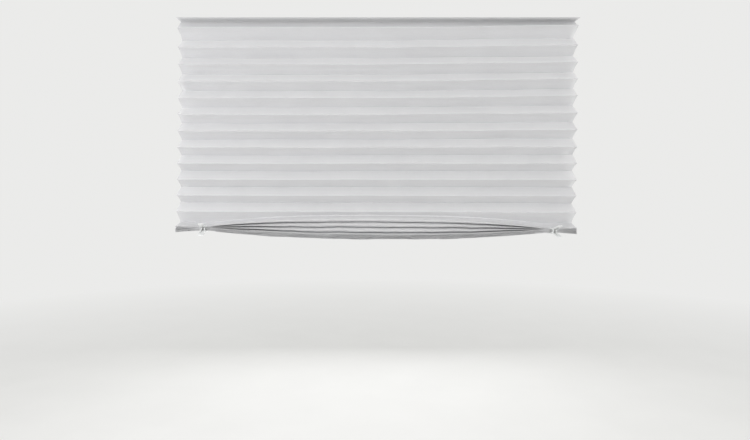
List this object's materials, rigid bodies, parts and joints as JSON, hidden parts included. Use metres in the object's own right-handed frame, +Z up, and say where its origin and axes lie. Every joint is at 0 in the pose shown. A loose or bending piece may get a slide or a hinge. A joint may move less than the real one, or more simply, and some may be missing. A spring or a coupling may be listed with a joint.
{
  "type": "pleated blind",
  "caption": "Stick-up pleated window blind: a folded sheet hangs from an adhesive strip, and small sprung clips hold its lower pleats gathered in a sagging bundle.",
  "frame": {"origin": "middle of the adhesive strip's top face, which sticks to the soffit of the window recess", "axes": "+X along the blind, +Y towards the window, +Z up; the room is on the -Y side"},
  "size_m": [1.2, 0.0906, 0.6608],
  "materials": {
    "nonwoven": "matte",
    "foam_tape": "matte",
    "clip_plastic": "gloss",
    "pin_steel": "satin",
    "spring_wire": "satin"
  },
  "bodies": {
    "blind": {"pleated_sheet": "nonwoven", "adhesive_strip": "foam_tape", "clip_left_upper_jaw": "clip_plastic", "clip_left_pin": "pin_steel", "clip_left_spring": "spring_wire", "clip_right_upper_jaw": "clip_plastic", "clip_right_pin": "pin_steel", "clip_right_spring": "spring_wire"},
    "clip_left_jaw": {"clip_left_lower_jaw": "clip_plastic"},
    "clip_right_jaw": {"clip_right_lower_jaw": "clip_plastic"}
  },
  "joints": [
    {"name": "clip_left_hinge", "type": "hinge", "parent": "blind", "child": "clip_left_jaw", "pos_m": [-0.52, -0.02076, -0.62879], "axis": [-1, 0, 0], "range_deg": [0, 30], "stiffness_Nm_per_rad": 0.05, "springref_deg": -68.75, "deforming": ["clip_left_spring"]},
    {"name": "clip_right_hinge", "type": "hinge", "parent": "blind", "child": "clip_right_jaw", "pos_m": [0.52324, -0.02024, -0.63479], "axis": [-0.9511, -0.309, 0], "range_deg": [0, 30], "stiffness_Nm_per_rad": 0.05, "springref_deg": -68.75, "deforming": ["clip_right_spring"]}
  ]
}
